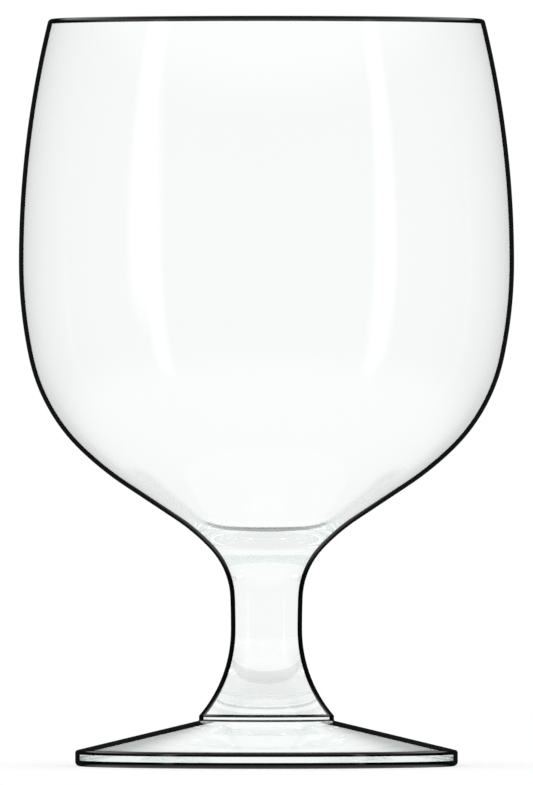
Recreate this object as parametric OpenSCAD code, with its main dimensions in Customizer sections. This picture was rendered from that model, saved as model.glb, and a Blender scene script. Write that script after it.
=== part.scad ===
// Stemmed water goblet, blown and pressed in one piece of clear glass.
// The whole form is one section turned about the upright axis, drawn as arcs and straight lines
// that run into each other without a corner, apart from the collar and the foot's edge.
// A tilt is the angle of the glass's side from upright. All lengths are millimetres.

/* [Overall] */
// Height from the table to the top of the rim
total_h = 130; // [120:0.5:150]

/* [Foot] */
// Diameter of the foot
foot_d = 66.6; // [58:0.2:76]
// Height of the foot's upright edge
foot_edge_h = 2.7; // [2:0.1:4]
// Rise of the foot's cone from its edge to the collar
foot_rise = 5.2; // [3.5:0.05:8]
// Rounding of the foot's top edge
foot_top_round = 0.5; // [0.2:0.05:0.8]
// Rounding of the foot's bottom edge
foot_low_round = 0.8; // [0.3:0.05:1.2]
// Width of the flat ring that the goblet stands on
ring_w = 3; // [1.5:0.25:6]
// Rise of the shallow hollow under the foot, at its centre
hollow_rise = 3; // [1:0.1:4.5]

/* [Collar] */
// Diameter of the collar between the foot and the stem
collar_d = 23.5; // [20:0.1:28]
// Height of the collar's upright edge
collar_h = 0.85; // [0.6:0.05:2]
// Rounding of the collar's edge and of the corner at its foot
collar_round = 0.2; // [0.1:0.02:0.3]

/* [Stem] */
// Diameter of the stem at its waist
waist_d = 12.4; // [10:0.1:15]
// Height of the waist above the collar
waist_h = 15; // [11:0.25:21]
// Radius of the stem's side just above the waist
stem_r = 160; // [100:5:240]
// Tilt at which the stem's side runs into the neck
stem_tilt = 2; // [1:0.25:4]
// Radius of the neck, where the stem opens out
neck_r = 13; // [10:0.25:16]
// Tilt at which the neck runs into the shoulder
neck_tilt = 43; // [38:0.5:48]
// Radius of the hollow shoulder under the bowl
shoulder_r = 34; // [26:0.5:44]

/* [Bowl] */
// Outside diameter of the belly, the widest place
belly_d = 86.2; // [72:0.1:94]
// How far the outside of the rim is drawn in from the belly, on each side
rim_inset = 5; // [2:0.1:9]
// Tilt of the straight taper between the shoulder and the bowl
taper_tilt = 56.5; // [53:0.25:60]
// Radius of the lower bowl, above the taper
lower_r = 55; // [44:0.5:70]
// Tilt at which the lower bowl runs into the round of the bowl
lower_tilt = 46; // [42:0.5:50]
// Radius of the round of the bowl
round_r = 31.5; // [26:0.25:38]
// Tilt at which the round runs into the belly
belly_tilt = 12; // [8:0.5:16]
// Radius of the belly's side
belly_r = 80; // [60:1:110]

/* [Wall] */
// Thickness of the wall at the rim, which is melted round
rim_wall = 1.6; // [1.2:0.05:2.4]
// Thickness of the wall from the belly down
bowl_wall = 2; // [1.4:0.05:3]
// Diameter at which the inside of the taper would meet the bowl's inside floor in a corner
floor_d = 18.8; // [13:0.2:25]
// Radius of the dished inside floor
floor_r = 39; // [32:0.5:48]
// Radius of the blend that rounds that corner
blend_r = 12; // [6:0.25:18]

/* [Hidden] */

// Furthest that an arc may stand off its chords
arc_error = 0.01;
clear_glass = [0.84, 0.92, 0.93, 0.5];

foot_r = foot_d / 2;
collar_r = collar_d / 2;
waist_r = waist_d / 2;
belly_r_out = belly_d / 2;
rim_round = rim_wall / 2;

// Levels up the foot, the collar and the stem
collar_low_z = foot_edge_h + foot_rise;
waist_z = collar_low_z + collar_h + waist_h;

// Unit direction at an angle from the horizontal
function toward(a) = [cos(a), sin(a)];
// Points of an arc about a centre, from one angle to another, with both its ends
function arc(c, r, from, to) =
    let (n = max(2, ceil(abs(to - from) / (2 * acos(1 - arc_error / r)))))
    [for (i = [0:n]) c + r * toward(from + (to - from) * i / n)];
// Two stretches that touch both give the point where they meet, and one of the two is left out
function joined(path) =
    [for (i = [0:len(path) - 1]) if (i == 0 || norm(path[i] - path[i - 1]) > arc_error / 10) path[i]];

// Foot: the slope of its cone, the dome of its hollow and the centres of its rounded edges
ring_in_r = foot_r - foot_low_round - ring_w;
cone_slope = atan2(foot_rise, foot_r - collar_r);
hollow_r = (pow(ring_in_r, 2) + pow(hollow_rise, 2)) / (2 * hollow_rise);
hollow_c = [0, hollow_rise - hollow_r];
foot_low_c = [foot_r - foot_low_round, foot_low_round];
foot_top_drop = foot_top_round * (1 - sin(cone_slope)) / cos(cone_slope);
foot_top_c = [foot_r - foot_top_round, foot_edge_h - foot_top_drop];

// Stem: the flare down to the collar, the stem's side, the neck and the shoulder. Their centres lie
// outside the glass, and each arc starts on the tilt at which the one below it ends.
flare_r = (pow(collar_r - waist_r, 2) + pow(waist_h, 2)) / (2 * (collar_r - waist_r));
flare_c = [waist_r + flare_r, waist_z];
stem_c = [waist_r + stem_r, waist_z];
neck_c = stem_c + (stem_r - neck_r) * toward(180 - stem_tilt);
shoulder_c = neck_c + (neck_r - shoulder_r) * toward(180 - neck_tilt);
taper_foot = shoulder_c + shoulder_r * toward(180 - taper_tilt);

// Collar: the corner on the cone is filled, and the edge's rounding touches the flare
collar_low_lift = collar_round * (1 - sin(cone_slope)) / cos(cone_slope);
collar_low_c = [collar_r + collar_round, collar_low_z + collar_low_lift];
collar_top_reach = flare_c.x - collar_r + collar_round;
collar_top_drop = sqrt(pow(flare_r + collar_round, 2) - pow(collar_top_reach, 2));
collar_top_c = [collar_r - collar_round, waist_z - collar_top_drop];
flare_tilt = atan2(collar_top_drop, collar_top_reach);

// Bowl: the straight taper is as long as the belly's diameter asks, which sets the belly's height
bowl_reach = lower_r * (cos(lower_tilt) - cos(taper_tilt))
    + round_r * (cos(belly_tilt) - cos(lower_tilt))
    + belly_r * (1 - cos(belly_tilt));
taper_l = (belly_r_out - taper_foot.x - bowl_reach) / sin(taper_tilt);
taper_top = taper_foot + taper_l * toward(90 - taper_tilt);
lower_c = taper_top - lower_r * toward(-taper_tilt);
round_c = lower_c + (lower_r - round_r) * toward(-lower_tilt);
belly_c = round_c + (round_r - belly_r) * toward(-belly_tilt);

// Upper wall: both its faces leave the belly upright and touch the rounding of the rim
rim_c = [belly_r_out - rim_inset - rim_round, total_h - rim_round];
wall_h = rim_c.y - belly_c.y;
out_gap = rim_inset + rim_round;
in_gap = out_gap - bowl_wall;
wall_out_r = (pow(out_gap, 2) + pow(wall_h, 2) - pow(rim_round, 2)) / (2 * rim_inset);
wall_in_r = (pow(in_gap, 2) + pow(wall_h, 2) - pow(rim_round, 2)) / (2 * (in_gap + rim_round));
wall_out_c = [belly_r_out - wall_out_r, belly_c.y];
wall_in_c = [belly_r_out - bowl_wall - wall_in_r, belly_c.y];
rim_out_tilt = atan2(wall_h, rim_c.x - wall_out_c.x);
rim_in_tilt = atan2(wall_h, rim_c.x - wall_in_c.x);

// Inside floor: a dish on the axis, through the corner where it would meet the inside of the taper.
// The blend's centre slides down beside the taper until the blend touches the dish as well.
taper_in = taper_top + bowl_wall * toward(180 - taper_tilt);
taper_way = toward(270 - taper_tilt);
floor_edge = taper_in + (taper_in.x - floor_d / 2) / sin(taper_tilt) * taper_way;
floor_c = [0, floor_edge.y + sqrt(pow(floor_r, 2) - pow(floor_d / 2, 2))];
blend_side = taper_in + blend_r * toward(180 - taper_tilt);
to_floor_c = floor_c - blend_side;
blend_near = to_floor_c * taper_way;
blend_off = to_floor_c * toward(180 - taper_tilt);
blend_c = blend_side + (blend_near + sqrt(pow(floor_r - blend_r, 2) - pow(blend_off, 2))) * taper_way;
floor_turn = atan2(blend_c.x, floor_c.y - blend_c.y);

// The section goes out from the axis under the foot, up the outside, over the rim and down inside
foot_side = concat(
    arc(hollow_c, hollow_r, 90, 90 - asin(ring_in_r / hollow_r)),
    arc(foot_low_c, foot_low_round, -90, 0),
    arc(foot_top_c, foot_top_round, 0, 90 - cone_slope)
);
stem_side = concat(
    arc(collar_low_c, collar_round, 270 - cone_slope, 180),
    arc(collar_top_c, collar_round, 0, flare_tilt),
    arc(flare_c, flare_r, 180 + flare_tilt, 180),
    arc(stem_c, stem_r, 180, 180 - stem_tilt),
    arc(neck_c, neck_r, 180 - stem_tilt, 180 - neck_tilt),
    arc(shoulder_c, shoulder_r, 180 - neck_tilt, 180 - taper_tilt)
);
bowl_side = concat(
    arc(lower_c, lower_r, -taper_tilt, -lower_tilt),
    arc(round_c, round_r, -lower_tilt, -belly_tilt),
    arc(belly_c, belly_r, -belly_tilt, 0),
    arc(wall_out_c, wall_out_r, 0, rim_out_tilt)
);
rim = concat(
    arc(rim_c, rim_round, rim_out_tilt, 90),
    arc(rim_c, rim_round, 90, 180 + rim_in_tilt)
);
inside = concat(
    arc(wall_in_c, wall_in_r, rim_in_tilt, 0),
    arc(belly_c, belly_r - bowl_wall, 0, -belly_tilt),
    arc(round_c, round_r - bowl_wall, -belly_tilt, -lower_tilt),
    arc(lower_c, lower_r - bowl_wall, -lower_tilt, -taper_tilt),
    arc(blend_c, blend_r, -taper_tilt, floor_turn - 90),
    arc(floor_c, floor_r, floor_turn - 90, -90)
);

module goblet() {
    color(clear_glass)
        rotate_extrude($fn = 144)
            polygon(joined(concat(foot_side, stem_side, bowl_side, rim, inside)));
}

goblet();
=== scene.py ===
from collections import namedtuple
from math import asin, atan2, ceil, cos, pi, radians, sin, sqrt, tau

import bmesh
import bpy
from bpy.props import FloatProperty, FloatVectorProperty, IntProperty, PointerProperty
from mathutils import Matrix, Vector


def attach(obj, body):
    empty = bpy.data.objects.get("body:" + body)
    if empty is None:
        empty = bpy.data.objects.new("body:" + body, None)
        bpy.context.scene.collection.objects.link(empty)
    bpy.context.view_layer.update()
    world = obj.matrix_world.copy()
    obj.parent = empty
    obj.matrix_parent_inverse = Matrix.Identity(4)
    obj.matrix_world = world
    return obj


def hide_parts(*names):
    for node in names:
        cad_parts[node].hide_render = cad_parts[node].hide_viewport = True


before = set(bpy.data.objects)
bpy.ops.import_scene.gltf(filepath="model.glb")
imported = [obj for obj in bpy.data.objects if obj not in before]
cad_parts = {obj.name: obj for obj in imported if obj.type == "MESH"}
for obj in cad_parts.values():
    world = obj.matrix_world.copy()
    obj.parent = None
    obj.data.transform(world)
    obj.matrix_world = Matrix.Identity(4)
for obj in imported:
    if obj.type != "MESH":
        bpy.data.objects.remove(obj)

bl_info = {
    "name": "Water Goblet",
    "version": (1, 0, 0),
    "blender": (4, 5, 0),
    "location": "View3D > Sidebar > Goblet",
    "description": "Makes a stemmed water goblet of clear glass and the white table that it stands on",
    "category": "Add Mesh",
}

MM = 0.001
QUARTER_TURN = pi / 2

# The photograph's frame in pixels, and the rows of the rim's top and the foot's underside in it
FRAME_H = 785
RIM_ROW = 19
FOOT_ROW = 766
# Length in millimetres of the camera's sensor, along the frame's longer side, which is upright
SENSOR_L = 36

# A stretch of the section: round a centre, from one angle to another
Arc = namedtuple("Arc", "centre radius start end")
# A soft box: its name, its place, width and height in metres, and its power in watts
SoftBox = namedtuple("SoftBox", "name place width height power")

# Steps along the section: no longer than this, and turning no more than this
LONGEST_STEP = 1.1 * MM
LARGEST_TURN = radians(6)
# Vertices nearer than this are one, such as the ring of them at each end of the axis
TOUCHING = 0.001 * MM
# Attribute that marks the rounded edges, the arcs of a radius under this, where the painted shade goes: 1
# on them and 0 elsewhere
EDGE = "rounded_edge"
EDGE_R = 2 * MM
# Sides of the disc that is the table
TABLE_FACETS = 96

# A Mix node's sockets by number, because those for numbers and those for colours share their names
NUMBER_A, NUMBER_B, NUMBER_OUT = 2, 3, 0
COLOUR_A, COLOUR_B, COLOUR_OUT = 6, 7, 2
# The count of a ray's turns is a whole number, so a ray with fewer than this has made none
HALF_A_TURN = 0.5

# Keeps the part of a direction that lies level
SIDEWAYS = (1, 1, 0)
# The mark fades out over the step beside an edge, and the edge's painted dark line ends between these
# values
LINE_END = (0.62, 0.72)
# The inside floor gets a painted dark line where it is this level and seen this nearly edge on: its
# normal's height, and the cosine between its normal and the eye
FLOOR_LEVEL = (0.8, 0.88)
FLOOR_EDGE_ON = (0.26, 0.36)
# Shares of the table's radius at which it starts to fade into the backdrop, and has faded
TABLE_FADE = (0.3, 0.98)

# Strength of the studio by the height of a ray's direction, from -1, straight down, to 1, straight up:
# what the outer skin of the glass mirrors, what light that has been through the glass ends in, and
# what lights the table
OUTER = ((-0.6, 0.7), (-0.25, 0.015), (0.28, 0.015), (0.42, 1.0), (0.55, 1.0), (0.8, 0.2))
INNER = ((-0.5, 0.88), (0.0, 1.0))
SKY = ((0.0, 0.4), (0.8, 1.0))
# Two tall soft boxes, one on each side, which leave a long soft streak down each side of the bowl.
# They stand forward of the goblet, so that seen from the side neither lies behind its outline.
SOFT_BOXES = (
    SoftBox("left_light", (-1.1, -0.6, 0.3), 0.35, 1.3, 2.2),
    SoftBox("right_light", (1.05, -0.65, 0.3), 0.25, 1.3, 1.6),
)
# Light goes up the bowl's wall with a great many turns before it leaves the glass
LIGHT_TURNS = 160


def linear(hex_code):
    """Turns an sRGB hex colour into the linear colour that shaders take, by the sRGB formula."""
    shares = [int(hex_code[i:i + 2], 16) / 255 for i in (0, 2, 4)]
    return tuple(c / 12.92 if c <= 0.04045 else ((c + 0.055) / 1.055) ** 2.4 for c in shares)


def length(label, about, size, low, high):
    """A length, written in millimetres and kept in metres."""
    return FloatProperty(
        name=label, description=about, default=size * MM, min=low * MM, max=high * MM,
        precision=4, unit="LENGTH",
    )


def tilt(label, about, angle, low, high):
    """An angle of the glass's side from upright, written in degrees and kept in radians."""
    return FloatProperty(
        name=label, description=about, default=radians(angle), min=radians(low), max=radians(high),
        subtype="ANGLE",
    )


class GOBLET_PG_sizes(bpy.types.PropertyGroup):
    """Sizes of the glass."""

    total_h: length("Height", "From the table to the top of the rim", 130, 120, 150)
    foot_d: length("Foot", "Diameter of the foot", 66.6, 58, 76)
    foot_edge_h: length("Foot edge", "Height of the foot's upright edge", 2.7, 2, 4)
    foot_rise: length("Foot rise", "Rise of the foot's cone from its edge to the collar", 5.2, 3.5, 8)
    foot_top_round: length("Foot top round", "Rounding of the foot's top edge", 0.5, 0.2, 0.8)
    foot_low_round: length("Foot low round", "Rounding of the foot's bottom edge", 0.8, 0.3, 1.2)
    ring_w: length("Ring", "Width of the flat ring that the goblet stands on", 3, 1.5, 6)
    hollow_rise: length("Hollow", "Rise of the shallow hollow under the foot, at its centre", 3, 1, 4.5)
    collar_d: length("Collar", "Diameter of the collar between the foot and the stem", 23.5, 20, 28)
    collar_h: length("Collar height", "Height of the collar's upright edge", 0.85, 0.6, 2)
    collar_round: length("Collar round", "Rounding of the collar's edge and of its foot", 0.2, 0.1, 0.3)
    waist_d: length("Waist", "Diameter of the stem at its waist", 12.4, 10, 15)
    waist_h: length("Waist height", "Height of the waist above the collar", 15, 11, 21)
    stem_r: length("Stem radius", "Radius of the stem's side just above the waist", 160, 100, 240)
    stem_tilt: tilt("Stem tilt", "Tilt at which the stem's side runs into the neck", 2, 1, 4)
    neck_r: length("Neck radius", "Radius of the neck, where the stem opens out", 13, 10, 16)
    neck_tilt: tilt("Neck tilt", "Tilt at which the neck runs into the shoulder", 43, 38, 48)
    shoulder_r: length("Shoulder radius", "Radius of the hollow shoulder under the bowl", 34, 26, 44)
    belly_d: length("Belly", "Outside diameter of the belly, the widest place", 86.2, 72, 94)
    rim_inset: length("Rim inset", "How far the rim is drawn in from the belly, on each side", 5, 2, 9)
    taper_tilt: tilt("Taper tilt", "Tilt of the straight taper between shoulder and bowl", 56.5, 53, 60)
    lower_r: length("Lower radius", "Radius of the lower bowl, above the taper", 55, 44, 70)
    lower_tilt: tilt("Lower tilt", "Tilt at which the lower bowl runs into the round", 46, 42, 50)
    round_r: length("Round radius", "Radius of the round of the bowl", 31.5, 26, 38)
    belly_tilt: tilt("Belly tilt", "Tilt at which the round runs into the belly", 12, 8, 16)
    belly_r: length("Belly radius", "Radius of the belly's side", 80, 60, 110)
    rim_wall: length("Rim wall", "Thickness of the wall at the rim, melted round", 1.6, 1.2, 2.4)
    bowl_wall: length("Bowl wall", "Thickness of the wall from the belly down", 2, 1.4, 3)
    floor_d: length("Floor", "Diameter of the corner that taper and floor would make", 18.8, 13, 25)
    floor_r: length("Floor radius", "Radius of the dished inside floor", 39, 32, 48)
    blend_r: length("Floor blend", "Radius of the blend that rounds that corner", 12, 6, 18)
    facets: IntProperty(name="Facets", description="Steps round the glass", default=264, min=96, max=270)


class GOBLET_PG_glass_and_painted_shade(bpy.types.PropertyGroup):
    """Colours of the glass, and the painted shade along its outline, rounded edges and inside floor."""

    face_tint: FloatVectorProperty(
        name="Face tint", description="Colour of the glass where it is looked through squarely",
        default=linear("FEFFFF"), min=0, max=1, subtype="COLOR",
    )
    # Painted shade: black painted along the outline and the rounded edges, in place of the dark that real
    # glass bends to the eye
    painted_edge_shade: FloatVectorProperty(
        name="Edge tint", description="Colour of the glass along its outline and its edges",
        default=linear("000000"), min=0, max=1, subtype="COLOR",
    )
    depth_tint: FloatVectorProperty(
        name="Depth tint", description="Colour that light keeps on a long way through the glass",
        default=linear("DDEBE7"), min=0, max=1, subtype="COLOR",
    )
    depth_density: FloatProperty(
        name="Depth density", description="How soon light takes on that colour",
        default=4, min=0, max=50,
    )
    ior: FloatProperty(
        name="IOR", description="Refractive index of the glass", default=1.52, min=1.3, max=1.8,
    )
    # Width of the painted shade along the outline, and how it fades
    painted_shade_w: length("Edge", "How far in from its outline the glass has the edge tint", 0.83, 0.3, 2)
    painted_shade_fade: length("Edge fade", "Width over which that tint fades", 0.1, 0.05, 1)
    ripple: length("Ripple", "Spacing of the faint ripples left by the pressing", 22, 5, 60)
    ripple_h: length("Ripple height", "Height of those ripples", 0.015, 0, 0.1)


class GOBLET_PG_stage(bpy.types.PropertyGroup):
    """The table, the light and the camera."""

    table_r: length("Table", "Radius of the table, past which there is the backdrop", 300, 150, 2000)
    table_tint: FloatVectorProperty(
        name="Table tint", description="Colour of the table",
        default=linear("F0F0F0"), min=0, max=1, subtype="COLOR",
    )
    table_glow: FloatProperty(
        name="Table glow", description="White that the table shows beyond what the light on it gives",
        default=0.25, min=0, max=1,
    )
    lens: FloatProperty(
        name="Lens", description="Focal length in millimetres, so long that the view is an elevation",
        default=1100, min=50, max=1170,
    )


def toward(angle):
    """Unit direction at an angle from the horizontal, in the plane of the section."""
    return Vector((cos(angle), sin(angle)))


def end_of(arc):
    """Place where an arc ends."""
    return arc.centre + arc.radius * toward(arc.end)


def run_on(arc, radius, end):
    """The arc that runs on from another on the same side, without a corner."""
    return Arc(arc.centre + (arc.radius - radius) * toward(arc.end), radius, arc.end, end)


def inset(arc, wall):
    """The same stretch of a bulging side on the inside of the wall, run the other way."""
    return Arc(arc.centre, arc.radius - wall, arc.end, arc.start)


def cone_slope(size):
    """Angle of the foot's cone from level."""
    return atan2(size.foot_rise, size.foot_d / 2 - size.collar_d / 2)


def rounding_gap(radius, slope):
    """Height between a corner of the cone with an upright side and the centre of its rounding."""
    return radius * (1 - sin(slope)) / cos(slope)


def foot_arcs(size):
    """The hollow under the foot, the ring's outer corner and the foot's top edge."""
    foot_r, slope = size.foot_d / 2, cone_slope(size)
    ring_in_r = foot_r - size.foot_low_round - size.ring_w
    hollow_r = (ring_in_r ** 2 + size.hollow_rise ** 2) / (2 * size.hollow_rise)
    top_drop = rounding_gap(size.foot_top_round, slope)
    hollow_c = Vector((0, size.hollow_rise - hollow_r))
    low_c = Vector((foot_r - size.foot_low_round, size.foot_low_round))
    top_c = Vector((foot_r - size.foot_top_round, size.foot_edge_h - top_drop))
    return [
        Arc(hollow_c, hollow_r, QUARTER_TURN, QUARTER_TURN - asin(ring_in_r / hollow_r)),
        Arc(low_c, size.foot_low_round, -QUARTER_TURN, 0),
        Arc(top_c, size.foot_top_round, 0, QUARTER_TURN - slope),
    ]


def stem_arcs(size):
    """The collar, the flare, the stem's side, the neck and the shoulder."""
    collar_r, waist_r, slope = size.collar_d / 2, size.waist_d / 2, cone_slope(size)
    collar_low_z = size.foot_edge_h + size.foot_rise
    waist_z = collar_low_z + size.collar_h + size.waist_h
    flare_r = ((collar_r - waist_r) ** 2 + size.waist_h ** 2) / (2 * (collar_r - waist_r))
    corner_lift = rounding_gap(size.collar_round, slope)
    edge_reach = waist_r + flare_r - collar_r + size.collar_round
    edge_drop = sqrt((flare_r + size.collar_round) ** 2 - edge_reach ** 2)
    flare_tilt = atan2(edge_drop, edge_reach)
    corner_c = Vector((collar_r + size.collar_round, collar_low_z + corner_lift))
    edge_c = Vector((collar_r - size.collar_round, waist_z - edge_drop))
    side = Arc(Vector((waist_r + size.stem_r, waist_z)), size.stem_r, pi, pi - size.stem_tilt)
    neck = run_on(side, size.neck_r, pi - size.neck_tilt)
    return [
        Arc(corner_c, size.collar_round, 3 * QUARTER_TURN - slope, pi),
        Arc(edge_c, size.collar_round, 0, flare_tilt),
        Arc(Vector((waist_r + flare_r, waist_z)), flare_r, pi + flare_tilt, pi),
        side,
        neck,
        run_on(neck, size.shoulder_r, pi - size.taper_tilt),
    ]


def bowl_arcs(size, taper_foot):
    """The lower bowl, its round and the belly, above a taper as long as the belly's diameter asks."""
    reach = (
        size.lower_r * (cos(size.lower_tilt) - cos(size.taper_tilt))
        + size.round_r * (cos(size.belly_tilt) - cos(size.lower_tilt))
        + size.belly_r * (1 - cos(size.belly_tilt))
    )
    taper_l = (size.belly_d / 2 - taper_foot.x - reach) / sin(size.taper_tilt)
    taper_top = taper_foot + taper_l * toward(QUARTER_TURN - size.taper_tilt)
    lower_c = taper_top - size.lower_r * toward(-size.taper_tilt)
    lower = Arc(lower_c, size.lower_r, -size.taper_tilt, -size.lower_tilt)
    middle = run_on(lower, size.round_r, -size.belly_tilt)
    return [lower, middle, run_on(middle, size.belly_r, 0)]


def rim_arcs(size, belly):
    """The upper wall's outside, the melted rim, and the wall's inside back down to the belly."""
    belly_r, rim_round = size.belly_d / 2, size.rim_wall / 2
    rim_c = Vector((belly_r - size.rim_inset - rim_round, size.total_h - rim_round))
    wall_h = rim_c.y - belly.centre.y
    out_gap = size.rim_inset + rim_round
    in_gap = out_gap - size.bowl_wall
    out_r = (out_gap ** 2 + wall_h ** 2 - rim_round ** 2) / (2 * size.rim_inset)
    in_r = (in_gap ** 2 + wall_h ** 2 - rim_round ** 2) / (2 * (in_gap + rim_round))
    out_c = Vector((belly_r - out_r, belly.centre.y))
    in_c = Vector((belly_r - size.bowl_wall - in_r, belly.centre.y))
    out_tilt = atan2(wall_h, rim_c.x - out_c.x)
    in_tilt = atan2(wall_h, rim_c.x - in_c.x)
    return [
        Arc(out_c, out_r, 0, out_tilt),
        Arc(rim_c, rim_round, out_tilt, QUARTER_TURN),
        Arc(rim_c, rim_round, QUARTER_TURN, pi + in_tilt),
        Arc(in_c, in_r, in_tilt, 0),
    ]


def floor_arcs(size, lower_inside):
    """The blend from the taper's inside and the dished inside floor, which it touches as well."""
    taper_in = end_of(lower_inside)
    inwards = toward(pi - size.taper_tilt)
    down = toward(3 * QUARTER_TURN - size.taper_tilt)
    floor_edge = taper_in + (taper_in.x - size.floor_d / 2) / sin(size.taper_tilt) * down
    floor_c = Vector((0, floor_edge.y + sqrt(size.floor_r ** 2 - (size.floor_d / 2) ** 2)))
    beside = taper_in + size.blend_r * inwards
    along, off = (floor_c - beside).dot(down), (floor_c - beside).dot(inwards)
    blend_c = beside + (along + sqrt((size.floor_r - size.blend_r) ** 2 - off ** 2)) * down
    floor_turn = atan2(blend_c.x, floor_c.y - blend_c.y) - QUARTER_TURN
    return [
        Arc(blend_c, size.blend_r, -size.taper_tilt, floor_turn),
        Arc(floor_c, size.floor_r, floor_turn, -QUARTER_TURN),
    ]


def section_arcs(size):
    """The whole section: from the axis out under the foot, up outside, over the rim and down inside."""
    stem = stem_arcs(size)
    bowl = bowl_arcs(size, end_of(stem[-1]))
    rim = rim_arcs(size, bowl[-1])
    inside = [inset(arc, size.bowl_wall) for arc in reversed(bowl)]
    return foot_arcs(size) + stem + bowl + rim + inside + floor_arcs(size, inside[-1])


def in_plane(place):
    """Place of a point of the section in the glass, where the section lies in the XZ plane."""
    return Vector((place.x, 0, place.y))


def draw_line(mesh, last, place):
    """Draws the section straight on from its last vertex to a place, in two or more short steps."""
    way = in_plane(place) - last.co
    steps = max(2, ceil(way.length / LONGEST_STEP))
    marks = mesh.verts.layers.float[EDGE]
    before, last[marks] = last[marks], 0
    drawn = bmesh.ops.spin(
        mesh, geom=[last], cent=(0, 0, 0), axis=(0, -1, 0), dvec=way / steps,
        angle=0, steps=steps,
    )
    last[marks] = before
    return drawn["geom_last"][0]


def draw_arc(mesh, last, arc):
    """Draws the section on round an arc, in steps short for its radius, and marks a rounded edge."""
    turn = arc.end - arc.start
    steps = ceil(abs(turn) / min(LARGEST_TURN, LONGEST_STEP / arc.radius))
    marks = mesh.verts.layers.float[EDGE]
    before, last[marks] = last[marks], float(arc.radius < EDGE_R)
    drawn = bmesh.ops.spin(
        mesh, geom=[last], cent=in_plane(arc.centre), axis=(0, -1, 0), dvec=(0, 0, 0),
        angle=turn, steps=steps,
    )
    last[marks] = max(before, last[marks])
    return drawn["geom_last"][0]


def draw_section(mesh, arcs):
    """Draws a chain of arcs, with a straight line wherever one doesn't start at the last one's end.

    Each new vertex takes its mark from the one that it is drawn on from."""
    mesh.verts.layers.float.new(EDGE)
    last = mesh.verts.new(in_plane(arcs[0].centre + arcs[0].radius * toward(arcs[0].start)))
    for arc in arcs:
        start = arc.centre + arc.radius * toward(arc.start)
        if (in_plane(start) - last.co).length > TOUCHING:
            last = draw_line(mesh, last, start)
        last.co = in_plane(start)
        last = draw_arc(mesh, last, arc)
    last.co = in_plane(end_of(arcs[-1]))


def lathe(mesh, facets):
    """Turns the section once round the upright axis and closes its seam and both poles."""
    bmesh.ops.spin(
        mesh, geom=mesh.verts[:] + mesh.edges[:], cent=(0, 0, 0), axis=(0, 0, 1), dvec=(0, 0, 0),
        angle=tau, steps=facets, use_merge=True,
    )
    bmesh.ops.remove_doubles(mesh, verts=mesh.verts, dist=TOUCHING)
    bmesh.ops.recalc_face_normals(mesh, faces=mesh.faces)


def new_object(name, mesh):
    """Puts a bmesh into the scene as a smooth object at the origin."""
    data = bpy.data.meshes.new(name)
    mesh.to_mesh(data)
    mesh.free()
    data.shade_smooth()
    made = bpy.data.objects.new(name, data)
    bpy.context.scene.collection.objects.link(made)
    return made


def add_node(tree, kind, inputs=None, **settings):
    """Adds a node with its settings. Each of its inputs is given a value or another node's output."""
    made = tree.nodes.new(kind)
    for name, value in settings.items():
        setattr(made, name, value)
    for socket, value in (inputs or {}).items():
        if isinstance(value, bpy.types.NodeSocket):
            tree.links.new(value, made.inputs[socket])
        else:
            made.inputs[socket].default_value = value
    return made


def new_material(name):
    """An empty material and its node tree."""
    material = bpy.data.materials.new(name)
    material.use_nodes = True
    material.node_tree.nodes.clear()
    return material, material.node_tree


def painted_shade_lines(tree, skin, spoke, outwards, cosine, finish):
    """Where the painted shade goes along the skin's outline and on its rounded edges: 1 there, else 0.

    On a round form of a radius r, skin turned to an angle from the eye is seen r * (1 - sin(angle))
    inside the outline. The bowl's inside has no painted outline of its own, to double the outer one.
    Only the eye meets this painted shade, and it doesn't show in what the glass bends or mirrors."""
    lean = add_node(tree, "ShaderNodeVectorMath", {
        0: skin.outputs["Normal"], 1: SIDEWAYS,
    }, operation="MULTIPLY")
    reach = add_node(tree, "ShaderNodeVectorMath", {0: spoke}, operation="LENGTH")
    upright = add_node(tree, "ShaderNodeVectorMath", {0: lean.outputs["Vector"]}, operation="LENGTH")
    form_r = add_node(tree, "ShaderNodeMath", {
        0: reach.outputs["Value"], 1: upright.outputs["Value"],
    }, operation="DIVIDE")
    square = add_node(tree, "ShaderNodeMath", {0: cosine, 1: 2.0}, operation="POWER")
    rest = add_node(tree, "ShaderNodeMath", {0: 1.0, 1: square.outputs["Value"]}, operation="SUBTRACT")
    sine = add_node(tree, "ShaderNodeMath", {0: rest.outputs["Value"]}, operation="SQRT")
    share_in = add_node(tree, "ShaderNodeMath", {
        0: 1.0, 1: sine.outputs["Value"],
    }, operation="SUBTRACT")
    inside_by = add_node(tree, "ShaderNodeMath", {
        0: share_in.outputs["Value"], 1: form_r.outputs["Value"],
    }, operation="MULTIPLY")
    half_fade = finish.painted_shade_fade / 2
    near_outline = add_node(tree, "ShaderNodeMapRange", {
        "Value": inside_by.outputs["Value"], "To Min": 1.0, "To Max": 0.0,
        "From Min": finish.painted_shade_w - half_fade, "From Max": finish.painted_shade_w + half_fade,
    }, interpolation_type="SMOOTHSTEP")
    outside = add_node(tree, "ShaderNodeMath", {0: outwards, 1: 0.0}, operation="GREATER_THAN")
    outline = add_node(tree, "ShaderNodeMath", {
        0: near_outline.outputs["Result"], 1: outside.outputs["Value"],
    }, operation="MULTIPLY")
    mark = add_node(tree, "ShaderNodeAttribute", attribute_name=EDGE)
    rounded = add_node(tree, "ShaderNodeMapRange", {
        "Value": mark.outputs["Fac"], "From Min": LINE_END[0], "From Max": LINE_END[1],
    }, interpolation_type="SMOOTHSTEP")
    lines = add_node(tree, "ShaderNodeMath", {
        0: outline.outputs["Value"], 1: rounded.outputs["Result"],
    }, operation="MAXIMUM")
    ray = add_node(tree, "ShaderNodeLightPath")
    return add_node(tree, "ShaderNodeMath", {
        0: lines.outputs["Value"], 1: ray.outputs["Is Camera Ray"],
    }, operation="MULTIPLY").outputs["Value"]


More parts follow.
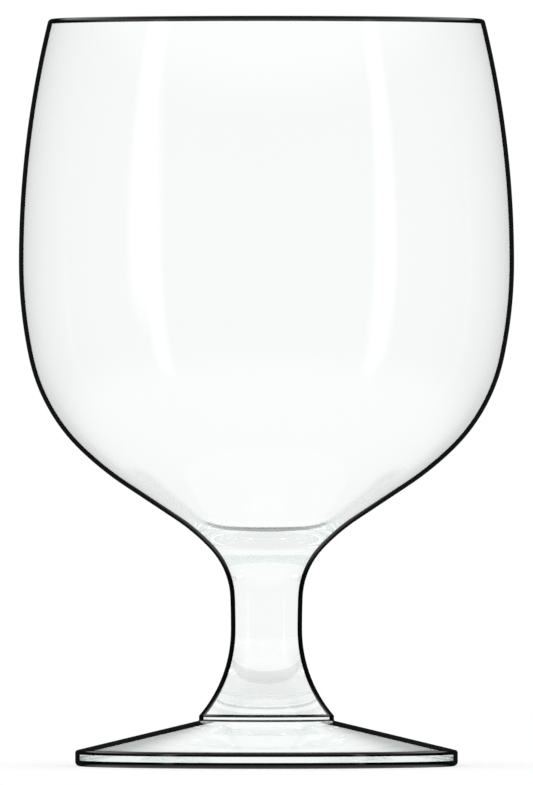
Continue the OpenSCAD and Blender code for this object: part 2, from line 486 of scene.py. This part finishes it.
def painted_shade_floor(tree, skin, outwards, cosine):
    """Where a painted dark line goes on the bowl's inside floor, where that is seen nearly edge on from the
    air above.

    The foot's top is as level, but its skin leans away from the axis, and the floor's towards it."""
    parts = add_node(tree, "ShaderNodeSeparateXYZ", {"Vector": skin.outputs["Normal"]})
    level = add_node(tree, "ShaderNodeMapRange", {
        "Value": parts.outputs["Z"], "From Min": FLOOR_LEVEL[0], "From Max": FLOOR_LEVEL[1],
    }, interpolation_type="SMOOTHSTEP")
    edge_on = add_node(tree, "ShaderNodeMapRange", {
        "Value": cosine, "To Min": 1.0, "To Max": 0.0,
        "From Min": FLOOR_EDGE_ON[0], "From Max": FLOOR_EDGE_ON[1],
    }, interpolation_type="SMOOTHSTEP")
    inside = add_node(tree, "ShaderNodeMath", {0: outwards, 1: 0.0}, operation="LESS_THAN")
    from_air = add_node(tree, "ShaderNodeMath", {
        0: 1.0, 1: skin.outputs["Backfacing"],
    }, operation="SUBTRACT")
    floor = add_node(tree, "ShaderNodeMath", {
        0: level.outputs["Result"], 1: inside.outputs["Value"],
    }, operation="MULTIPLY")
    seen = add_node(tree, "ShaderNodeMath", {
        0: edge_on.outputs["Result"], 1: from_air.outputs["Value"],
    }, operation="MULTIPLY")
    return add_node(tree, "ShaderNodeMath", {
        0: floor.outputs["Value"], 1: seen.outputs["Value"],
    }, operation="MULTIPLY").outputs["Value"]


def painted_shade_mask(tree, place, finish):
    """Where the skin gets painted shade, along its lines and on the bowl's inside floor: 1 there, else 0.
    """
    skin = add_node(tree, "ShaderNodeNewGeometry")
    spoke = add_node(tree, "ShaderNodeVectorMath", {0: place, 1: SIDEWAYS}, operation="MULTIPLY")
    outwards = add_node(tree, "ShaderNodeVectorMath", {
        0: skin.outputs["Normal"], 1: spoke.outputs["Vector"],
    }, operation="DOT_PRODUCT")
    # At this blend, Facing is one less the cosine between the skin's normal and the eye
    facing = add_node(tree, "ShaderNodeLayerWeight", {"Blend": 0.5})
    cosine = add_node(tree, "ShaderNodeMath", {
        0: 1.0, 1: facing.outputs["Facing"],
    }, operation="SUBTRACT").outputs["Value"]
    lines = painted_shade_lines(tree, skin, spoke.outputs["Vector"], outwards.outputs["Value"], cosine, finish)
    floor = painted_shade_floor(tree, skin, outwards.outputs["Value"], cosine)
    return add_node(tree, "ShaderNodeMath", {0: lines, 1: floor}, operation="MAXIMUM").outputs["Value"]


def fire_polished_glass_with_painted_shade(finish):
    """Clear soda-lime glass, pressed and blown and then fire-polished.

    Fire-polishing leaves a perfectly smooth skin with long, faint ripples. The glass is almost
    colourless face on and grey-green where light goes a long way through it. Real clear glass in front
    of white looks dark along its outline and on its rounded edges, because they bend the dark of the
    room round to the eye. Here they bend only white, and black painted shade stands in for that dark."""
    material, tree = new_material("fire_polished_glass_with_painted_shade")
    place = add_node(tree, "ShaderNodeTexCoord")
    ripples = add_node(tree, "ShaderNodeTexNoise", {
        "Vector": place.outputs["Object"], "Scale": 1 / finish.ripple, "Detail": 1.0, "Roughness": 0.4,
    })
    skin = add_node(tree, "ShaderNodeBump", {
        "Height": ripples.outputs["Fac"], "Strength": 1.0, "Distance": finish.ripple_h,
    })
    # The glass's own face tint, with black painted shade mixed in where the mask is 1
    tint = add_node(tree, "ShaderNodeMix", {
        "Factor": painted_shade_mask(tree, place.outputs["Object"], finish),
        COLOUR_A: (*finish.face_tint, 1), COLOUR_B: (*finish.painted_edge_shade, 1),
    }, data_type="RGBA")
    glass = add_node(tree, "ShaderNodeBsdfPrincipled", {
        "Base Color": tint.outputs[COLOUR_OUT], "Roughness": 0.0, "IOR": finish.ior,
        "Transmission Weight": 1.0, "Normal": skin.outputs["Normal"],
    })
    depth = add_node(tree, "ShaderNodeVolumeAbsorption", {
        "Color": (*finish.depth_tint, 1), "Density": finish.depth_density,
    })
    add_node(tree, "ShaderNodeOutputMaterial", {
        "Surface": glass.outputs["BSDF"], "Volume": depth.outputs["Volume"],
    })
    return material


def white_table(stage):
    """Matt white paper on a table, which fades into the white backdrop before its rim.

    It is plain white to the eye, apart from the shadow on it. Light that the glass reflects passes
    through it to the studio, so that no edge of the table shows in the bowl."""
    material, tree = new_material("matt_white_paper")
    ray = add_node(tree, "ShaderNodeLightPath")
    seen = add_node(tree, "ShaderNodeMath", {
        0: ray.outputs["Is Camera Ray"], 1: ray.outputs["Is Transmission Ray"],
    }, use_clamp=True)
    paper = add_node(tree, "ShaderNodeBsdfDiffuse", {"Color": (*stage.table_tint, 1)})
    glow = add_node(tree, "ShaderNodeEmission", {"Strength": stage.table_glow})
    both = add_node(tree, "ShaderNodeAddShader", {
        0: paper.outputs["BSDF"], 1: glow.outputs["Emission"],
    })
    surface = add_node(tree, "ShaderNodeMixShader", {
        "Fac": seen.outputs["Value"], 1: paper.outputs["BSDF"], 2: both.outputs["Shader"],
    })
    place = add_node(tree, "ShaderNodeTexCoord")
    reach = add_node(tree, "ShaderNodeVectorMath", {0: place.outputs["Object"]}, operation="LENGTH")
    fade = add_node(tree, "ShaderNodeMapRange", {
        "Value": reach.outputs["Value"],
        "From Min": TABLE_FADE[0] * stage.table_r, "From Max": TABLE_FADE[1] * stage.table_r,
    }, interpolation_type="SMOOTHSTEP")
    mirrored = add_node(tree, "ShaderNodeMath", {
        0: ray.outputs["Glossy Depth"], 1: HALF_A_TURN,
    }, operation="GREATER_THAN")
    absent = add_node(tree, "ShaderNodeMath", {
        0: fade.outputs["Result"], 1: mirrored.outputs["Value"],
    }, operation="MAXIMUM")
    nothing = add_node(tree, "ShaderNodeBsdfTransparent")
    table = add_node(tree, "ShaderNodeMixShader", {
        "Fac": absent.outputs["Value"], 1: surface.outputs["Shader"], 2: nothing.outputs["BSDF"],
    })
    add_node(tree, "ShaderNodeOutputMaterial", {"Surface": table.outputs["Shader"]})
    return material


def by_height(tree, height, stops):
    """A strength that goes smoothly through stops, each a height of a ray's direction and a strength."""
    share = add_node(tree, "ShaderNodeMapRange", {"Value": height, "From Min": -1.0, "From Max": 1.0})
    ramp = add_node(tree, "ShaderNodeValToRGB", {"Fac": share.outputs["Result"]})
    ramp.color_ramp.interpolation = "EASE"
    points = ramp.color_ramp.elements
    points[0].position = (stops[0][0] + 1) / 2
    points[1].position = (stops[-1][0] + 1) / 2
    for level, _ in stops[1:-1]:
        points.new((level + 1) / 2)
    for point, (_, strength) in zip(points, stops):
        point.color = (strength, strength, strength, 1)
    return ramp.outputs["Color"]


def studio_world():
    """A white backdrop seen directly and through the glass, and the studio that the glass mirrors.

    The outer skin mirrors a studio that is dark round the level of the eye, so that no mirrored white
    covers the painted shade along its outlines, and light in a ring above it and below it. Light that has
    been inside the glass ends in near white, so that all but the painted shade looks clear. The light that
    falls on the table comes from all of the upper half."""
    world = bpy.data.worlds.new("white_studio")
    bpy.context.scene.world = world
    world.use_nodes = True
    tree = world.node_tree
    tree.nodes.clear()
    ray = add_node(tree, "ShaderNodeLightPath")
    place = add_node(tree, "ShaderNodeTexCoord")
    way = add_node(tree, "ShaderNodeSeparateXYZ", {"Vector": place.outputs["Generated"]})
    outer = by_height(tree, way.outputs["Z"], OUTER)
    inner = by_height(tree, way.outputs["Z"], INNER)
    sky = by_height(tree, way.outputs["Z"], SKY)
    been_inside = add_node(tree, "ShaderNodeMath", {
        0: ray.outputs["Transmission Depth"], 1: HALF_A_TURN,
    }, operation="GREATER_THAN")
    mirrored = add_node(tree, "ShaderNodeMix", {
        "Factor": been_inside.outputs["Value"], NUMBER_A: outer, NUMBER_B: inner,
    }, data_type="FLOAT")
    studio = add_node(tree, "ShaderNodeMix", {
        "Factor": ray.outputs["Is Diffuse Ray"], NUMBER_A: mirrored.outputs[NUMBER_OUT], NUMBER_B: sky,
    }, data_type="FLOAT")
    turns = add_node(tree, "ShaderNodeMath", {
        0: ray.outputs["Glossy Depth"], 1: ray.outputs["Diffuse Depth"],
    })
    straight = add_node(tree, "ShaderNodeMath", {
        0: turns.outputs["Value"], 1: HALF_A_TURN,
    }, operation="LESS_THAN")
    strength = add_node(tree, "ShaderNodeMix", {
        "Factor": straight.outputs["Value"], NUMBER_A: studio.outputs[NUMBER_OUT], NUMBER_B: 1.0,
    }, data_type="FLOAT")
    light = add_node(tree, "ShaderNodeBackground", {
        "Color": (1, 1, 1, 1), "Strength": strength.outputs[NUMBER_OUT],
    })
    add_node(tree, "ShaderNodeOutputWorld", {"Surface": light.outputs["Background"]})


def hang_soft_box(box, aim_h):
    """Hangs a soft box that faces the axis at a height, bright in its middle and faded at its rim."""
    data = bpy.data.lights.new(box.name, "AREA")
    data.shape = "ELLIPSE"
    data.size = box.width
    data.size_y = box.height
    data.energy = box.power
    data.use_nodes = True
    tree = data.node_tree
    tree.nodes.clear()
    cloth = add_node(tree, "ShaderNodeNewGeometry")
    # The cloth's own coordinates go from 0 to 1, and these from -1 to 1 about its middle
    middle = add_node(tree, "ShaderNodeMapping", {
        "Vector": cloth.outputs["Parametric"], "Location": (-1, -1, 0), "Scale": (2, 2, 1),
    })
    pool = add_node(tree, "ShaderNodeTexGradient", {
        "Vector": middle.outputs["Vector"],
    }, gradient_type="SPHERICAL")
    glow = add_node(tree, "ShaderNodeEmission", {"Strength": pool.outputs["Fac"]})
    add_node(tree, "ShaderNodeOutputLight", {"Surface": glow.outputs["Emission"]})
    lamp = bpy.data.objects.new(box.name, data)
    aim = Vector((0, 0, aim_h)) - Vector(box.place)
    turned = aim.to_track_quat("-Z", "Y").to_matrix().to_4x4()
    lamp.matrix_world = Matrix.Translation(box.place) @ turned
    bpy.context.scene.collection.objects.link(lamp)


def elevation_camera(size, stage):
    """A camera level with the middle of the goblet, far off with a long lens, as for an elevation."""
    data = bpy.data.cameras.new("camera")
    data.lens = stage.lens
    data.sensor_width = SENSOR_L
    frame_h = size.total_h * FRAME_H / (FOOT_ROW - RIM_ROW)
    distance = frame_h * stage.lens / SENSOR_L
    data.clip_end = 3 * distance
    camera = bpy.data.objects.new("camera", data)
    camera.location = (0, -distance, size.total_h / 2)
    camera.rotation_euler = (QUARTER_TURN, 0, 0)
    bpy.context.scene.collection.objects.link(camera)
    bpy.context.scene.camera = camera


class GOBLET_OT_glass(bpy.types.Operator):
    """Turn the glass from its section, in place of the plain model of it"""

    bl_idname = "goblet.glass"
    bl_label = "Add Goblet"

    def execute(self, context):
        size, finish = context.scene.goblet_sizes, context.scene.goblet_finish
        mesh = bmesh.new()
        draw_section(mesh, section_arcs(size))
        lathe(mesh, size.facets)
        glass = new_object("clear_goblet", mesh)
        glass.data.materials.append(fire_polished_glass_with_painted_shade(finish))
        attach(glass, "root")
        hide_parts("goblet")
        return {"FINISHED"}


class GOBLET_OT_stage(bpy.types.Operator):
    """Lay the white table and set up the studio's light and the camera"""

    bl_idname = "goblet.stage"
    bl_label = "Add Stage"

    def execute(self, context):
        size, stage = context.scene.goblet_sizes, context.scene.goblet_stage
        mesh = bmesh.new()
        bmesh.ops.create_circle(mesh, cap_ends=True, radius=stage.table_r, segments=TABLE_FACETS)
        table = new_object("table", mesh)
        table.data.materials.append(white_table(stage))
        studio_world()
        for box in SOFT_BOXES:
            hang_soft_box(box, size.total_h / 2)
        elevation_camera(size, stage)
        return {"FINISHED"}


class GOBLET_PT_sidebar(bpy.types.Panel):
    """Sizes and colours of the goblet, and what makes it"""

    bl_idname = "GOBLET_PT_sidebar"
    bl_label = "Water Goblet"
    bl_space_type = "VIEW_3D"
    bl_region_type = "UI"
    bl_category = "Goblet"

    def draw(self, context):
        scene = context.scene
        for group in (scene.goblet_sizes, scene.goblet_finish, scene.goblet_stage):
            column = self.layout.column(align=True)
            for name in type(group).__annotations__:
                column.prop(group, name)
        self.layout.operator(GOBLET_OT_glass.bl_idname)
        self.layout.operator(GOBLET_OT_stage.bl_idname)


CLASSES = (
    GOBLET_PG_sizes,
    GOBLET_PG_glass_and_painted_shade,
    GOBLET_PG_stage,
    GOBLET_OT_glass,
    GOBLET_OT_stage,
    GOBLET_PT_sidebar,
)


def register():
    for cls in CLASSES:
        bpy.utils.register_class(cls)
    bpy.types.Scene.goblet_sizes = PointerProperty(type=GOBLET_PG_sizes)
    bpy.types.Scene.goblet_finish = PointerProperty(type=GOBLET_PG_glass_and_painted_shade)
    bpy.types.Scene.goblet_stage = PointerProperty(type=GOBLET_PG_stage)


def unregister():
    del bpy.types.Scene.goblet_stage
    del bpy.types.Scene.goblet_finish
    del bpy.types.Scene.goblet_sizes
    for cls in reversed(CLASSES):
        bpy.utils.unregister_class(cls)


def main():
    """Makes the goblet and its stage."""
    register()
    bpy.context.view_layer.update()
    bpy.context.scene.view_settings.view_transform = "Standard"
    paths = bpy.context.scene.cycles
    paths.max_bounces = LIGHT_TURNS
    paths.glossy_bounces = LIGHT_TURNS
    paths.transmission_bounces = LIGHT_TURNS
    bpy.ops.goblet.glass()
    bpy.ops.goblet.stage()


if __name__ == "__main__":
    main()
